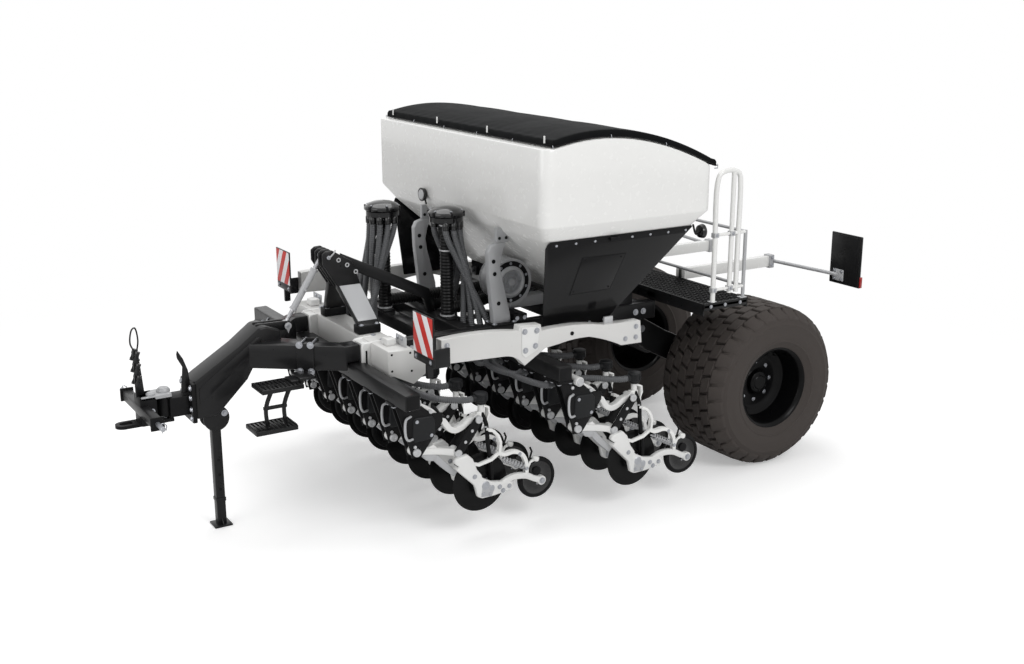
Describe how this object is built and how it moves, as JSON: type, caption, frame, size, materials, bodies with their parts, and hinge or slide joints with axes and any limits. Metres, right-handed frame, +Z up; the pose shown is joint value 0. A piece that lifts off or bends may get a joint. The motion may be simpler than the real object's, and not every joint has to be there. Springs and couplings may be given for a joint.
{
  "type": "trailed seed drill",
  "caption": "Trailed direct seed drill: covered seed hopper over two ranks of disc row units, drawbar hitch with parking leg in front, two wide tyres behind.",
  "frame": {"origin": "on the ground under the middle of the machine's outline", "axes": "+Z up, -Y towards the tractor hitch, +X towards the machine's left side (the side with the ladder)"},
  "size_m": [2.9926, 6.043, 3.0092],
  "materials": {
    "white_paint": "gloss white powder coat",
    "black_paint": "satin black powder coat",
    "black_plastic": "gloss black moulding",
    "tyre_rubber": "dull tyre rubber on a black rim",
    "black_rubber": "matt rubber",
    "hose_rubber": "ribbed hose",
    "disc_steel": "black coated disc",
    "fan_housing": "light grey paint",
    "zinc_steel": "zinc plated",
    "tarpaulin": "coated tarpaulin",
    "marker_panel": "red and white striped panel on a black foot"
  },
  "bodies": {
    "chassis": {"hopper": "white_paint", "tarp_cover": "tarpaulin", "side_panel_left": "black_paint", "side_panel_right": "black_paint", "main_frame": "black_paint", "side_beam_left": "white_paint", "side_beam_right": "white_paint", "axle_frame": "black_paint", "front_row_units": "white_paint", "rear_row_units": "black_paint", "blower": "fan_housing", "distribution_head_left": "black_plastic", "distribution_head_right": "black_plastic", "seed_hoses_left": "hose_rubber", "seed_hoses_right": "hose_rubber", "drawbar": "black_paint", "top_link": "zinc_steel", "mast": "black_paint", "front_steps": "black_paint", "marker_left": "marker_panel", "marker_right": "marker_panel", "walkway": "black_paint", "ladder": "white_paint", "rear_light_frame": "white_paint"},
    "wheel_left": {"wheel_left": "tyre_rubber"},
    "wheel_right": {"wheel_right": "tyre_rubber"},
    "front_disc_1": {"front_disc_1": "disc_steel"},
    "front_disc_2": {"front_disc_2": "disc_steel"},
    "front_disc_3": {"front_disc_3": "disc_steel"},
    "front_disc_4": {"front_disc_4": "disc_steel"},
    "front_disc_5": {"front_disc_5": "disc_steel"},
    "front_disc_6": {"front_disc_6": "disc_steel"},
    "front_disc_7": {"front_disc_7": "disc_steel"},
    "front_disc_8": {"front_disc_8": "disc_steel"},
    "rear_disc_1": {"rear_disc_1": "disc_steel"},
    "rear_disc_2": {"rear_disc_2": "disc_steel"},
    "rear_disc_3": {"rear_disc_3": "disc_steel"},
    "rear_disc_4": {"rear_disc_4": "disc_steel"},
    "rear_disc_5": {"rear_disc_5": "disc_steel"},
    "rear_disc_6": {"rear_disc_6": "disc_steel"},
    "rear_disc_7": {"rear_disc_7": "disc_steel"},
    "rear_disc_8": {"rear_disc_8": "disc_steel"},
    "front_press_wheel_1": {"front_press_wheel_1": "black_rubber"},
    "front_press_wheel_2": {"front_press_wheel_2": "black_rubber"},
    "front_press_wheel_3": {"front_press_wheel_3": "black_rubber"},
    "front_press_wheel_4": {"front_press_wheel_4": "black_rubber"},
    "front_press_wheel_5": {"front_press_wheel_5": "black_rubber"},
    "front_press_wheel_6": {"front_press_wheel_6": "black_rubber"},
    "front_press_wheel_7": {"front_press_wheel_7": "black_rubber"},
    "front_press_wheel_8": {"front_press_wheel_8": "black_rubber"},
    "rear_press_wheel_1": {"rear_press_wheel_1": "black_rubber"},
    "rear_press_wheel_2": {"rear_press_wheel_2": "black_rubber"},
    "rear_press_wheel_3": {"rear_press_wheel_3": "black_rubber"},
    "rear_press_wheel_4": {"rear_press_wheel_4": "black_rubber"},
    "rear_press_wheel_5": {"rear_press_wheel_5": "black_rubber"},
    "rear_press_wheel_6": {"rear_press_wheel_6": "black_rubber"},
    "rear_press_wheel_7": {"rear_press_wheel_7": "black_rubber"},
    "rear_press_wheel_8": {"rear_press_wheel_8": "black_rubber"},
    "parking_stand": {"parking_stand": "black_paint"},
    "hitch_yoke": {"hitch_yoke": "black_paint"}
  },
  "joints": [
    {"name": "parking_stand_fold", "type": "hinge", "parent": "chassis", "child": "parking_stand", "pos_m": [0, -2.2865, 0.88], "axis": [1, 0, 0], "range_deg": [0, 90]},
    {"name": "hitch_yoke_turn", "type": "hinge", "parent": "chassis", "child": "hitch_yoke", "pos_m": [0, -2.6565, 1.0395], "axis": [0, 0, 1], "range_deg": [-60, 60]},
    {"name": "wheel_left_spin", "type": "hinge", "parent": "chassis", "child": "wheel_left", "pos_m": [0.941, 2.1935, 0.704], "axis": [1, 0, 0], "continuous": true},
    {"name": "wheel_right_spin", "type": "hinge", "parent": "chassis", "child": "wheel_right", "pos_m": [-0.941, 2.1935, 0.704], "axis": [1, 0, 0], "continuous": true},
    {"name": "front_disc_1_spin", "type": "hinge", "parent": "chassis", "child": "front_disc_1", "pos_m": [1.2188, -0.6775, 0.43], "axis": [1, 0, 0], "continuous": true},
    {"name": "front_disc_2_spin", "type": "hinge", "parent": "chassis", "child": "front_disc_2", "pos_m": [0.8438, -0.6775, 0.43], "axis": [1, 0, 0], "continuous": true},
    {"name": "front_disc_3_spin", "type": "hinge", "parent": "chassis", "child": "front_disc_3", "pos_m": [0.4688, -0.6775, 0.43], "axis": [1, 0, 0], "continuous": true},
    {"name": "front_disc_4_spin", "type": "hinge", "parent": "chassis", "child": "front_disc_4", "pos_m": [0.0938, -0.6775, 0.43], "axis": [1, 0, 0], "continuous": true},
    {"name": "front_disc_5_spin", "type": "hinge", "parent": "chassis", "child": "front_disc_5", "pos_m": [-0.2812, -0.6775, 0.43], "axis": [1, 0, 0], "continuous": true},
    {"name": "front_disc_6_spin", "type": "hinge", "parent": "chassis", "child": "front_disc_6", "pos_m": [-0.6562, -0.6775, 0.43], "axis": [1, 0, 0], "continuous": true},
    {"name": "front_disc_7_spin", "type": "hinge", "parent": "chassis", "child": "front_disc_7", "pos_m": [-1.0312, -0.6775, 0.43], "axis": [1, 0, 0], "continuous": true},
    {"name": "front_disc_8_spin", "type": "hinge", "parent": "chassis", "child": "front_disc_8", "pos_m": [-1.4062, -0.6775, 0.43], "axis": [1, 0, 0], "continuous": true},
    {"name": "rear_disc_1_spin", "type": "hinge", "parent": "chassis", "child": "rear_disc_1", "pos_m": [1.4062, 0.5935, 0.43], "axis": [1, 0, 0], "continuous": true},
    {"name": "rear_disc_2_spin", "type": "hinge", "parent": "chassis", "child": "rear_disc_2", "pos_m": [1.0312, 0.5935, 0.43], "axis": [1, 0, 0], "continuous": true},
    {"name": "rear_disc_3_spin", "type": "hinge", "parent": "chassis", "child": "rear_disc_3", "pos_m": [0.6562, 0.5935, 0.43], "axis": [1, 0, 0], "continuous": true},
    {"name": "rear_disc_4_spin", "type": "hinge", "parent": "chassis", "child": "rear_disc_4", "pos_m": [0.2812, 0.5935, 0.43], "axis": [1, 0, 0], "continuous": true},
    {"name": "rear_disc_5_spin", "type": "hinge", "parent": "chassis", "child": "rear_disc_5", "pos_m": [-0.0938, 0.5935, 0.43], "axis": [1, 0, 0], "continuous": true},
    {"name": "rear_disc_6_spin", "type": "hinge", "parent": "chassis", "child": "rear_disc_6", "pos_m": [-0.4688, 0.5935, 0.43], "axis": [1, 0, 0], "continuous": true},
    {"name": "rear_disc_7_spin", "type": "hinge", "parent": "chassis", "child": "rear_disc_7", "pos_m": [-0.8438, 0.5935, 0.43], "axis": [1, 0, 0], "continuous": true},
    {"name": "rear_disc_8_spin", "type": "hinge", "parent": "chassis", "child": "rear_disc_8", "pos_m": [-1.2188, 0.5935, 0.43], "axis": [1, 0, 0], "continuous": true},
    {"name": "front_press_wheel_1_spin", "type": "hinge", "parent": "chassis", "child": "front_press_wheel_1", "pos_m": [1.2188, -0.1775, 0.365], "axis": [1, 0, 0], "continuous": true},
    {"name": "front_press_wheel_2_spin", "type": "hinge", "parent": "chassis", "child": "front_press_wheel_2", "pos_m": [0.8438, -0.1775, 0.365], "axis": [1, 0, 0], "continuous": true},
    {"name": "front_press_wheel_3_spin", "type": "hinge", "parent": "chassis", "child": "front_press_wheel_3", "pos_m": [0.4688, -0.1775, 0.365], "axis": [1, 0, 0], "continuous": true},
    {"name": "front_press_wheel_4_spin", "type": "hinge", "parent": "chassis", "child": "front_press_wheel_4", "pos_m": [0.0938, -0.1775, 0.365], "axis": [1, 0, 0], "continuous": true},
    {"name": "front_press_wheel_5_spin", "type": "hinge", "parent": "chassis", "child": "front_press_wheel_5", "pos_m": [-0.2812, -0.1775, 0.365], "axis": [1, 0, 0], "continuous": true},
    {"name": "front_press_wheel_6_spin", "type": "hinge", "parent": "chassis", "child": "front_press_wheel_6", "pos_m": [-0.6562, -0.1775, 0.365], "axis": [1, 0, 0], "continuous": true},
    {"name": "front_press_wheel_7_spin", "type": "hinge", "parent": "chassis", "child": "front_press_wheel_7", "pos_m": [-1.0312, -0.1775, 0.365], "axis": [1, 0, 0], "continuous": true},
    {"name": "front_press_wheel_8_spin", "type": "hinge", "parent": "chassis", "child": "front_press_wheel_8", "pos_m": [-1.4062, -0.1775, 0.365], "axis": [1, 0, 0], "continuous": true},
    {"name": "rear_press_wheel_1_spin", "type": "hinge", "parent": "chassis", "child": "rear_press_wheel_1", "pos_m": [1.4062, 1.0935, 0.365], "axis": [1, 0, 0], "continuous": true},
    {"name": "rear_press_wheel_2_spin", "type": "hinge", "parent": "chassis", "child": "rear_press_wheel_2", "pos_m": [1.0312, 1.0935, 0.365], "axis": [1, 0, 0], "continuous": true},
    {"name": "rear_press_wheel_3_spin", "type": "hinge", "parent": "chassis", "child": "rear_press_wheel_3", "pos_m": [0.6562, 1.0935, 0.365], "axis": [1, 0, 0], "continuous": true},
    {"name": "rear_press_wheel_4_spin", "type": "hinge", "parent": "chassis", "child": "rear_press_wheel_4", "pos_m": [0.2812, 1.0935, 0.365], "axis": [1, 0, 0], "continuous": true},
    {"name": "rear_press_wheel_5_spin", "type": "hinge", "parent": "chassis", "child": "rear_press_wheel_5", "pos_m": [-0.0938, 1.0935, 0.365], "axis": [1, 0, 0], "continuous": true},
    {"name": "rear_press_wheel_6_spin", "type": "hinge", "parent": "chassis", "child": "rear_press_wheel_6", "pos_m": [-0.4688, 1.0935, 0.365], "axis": [1, 0, 0], "continuous": true},
    {"name": "rear_press_wheel_7_spin", "type": "hinge", "parent": "chassis", "child": "rear_press_wheel_7", "pos_m": [-0.8438, 1.0935, 0.365], "axis": [1, 0, 0], "continuous": true},
    {"name": "rear_press_wheel_8_spin", "type": "hinge", "parent": "chassis", "child": "rear_press_wheel_8", "pos_m": [-1.2188, 1.0935, 0.365], "axis": [1, 0, 0], "continuous": true}
  ]
}
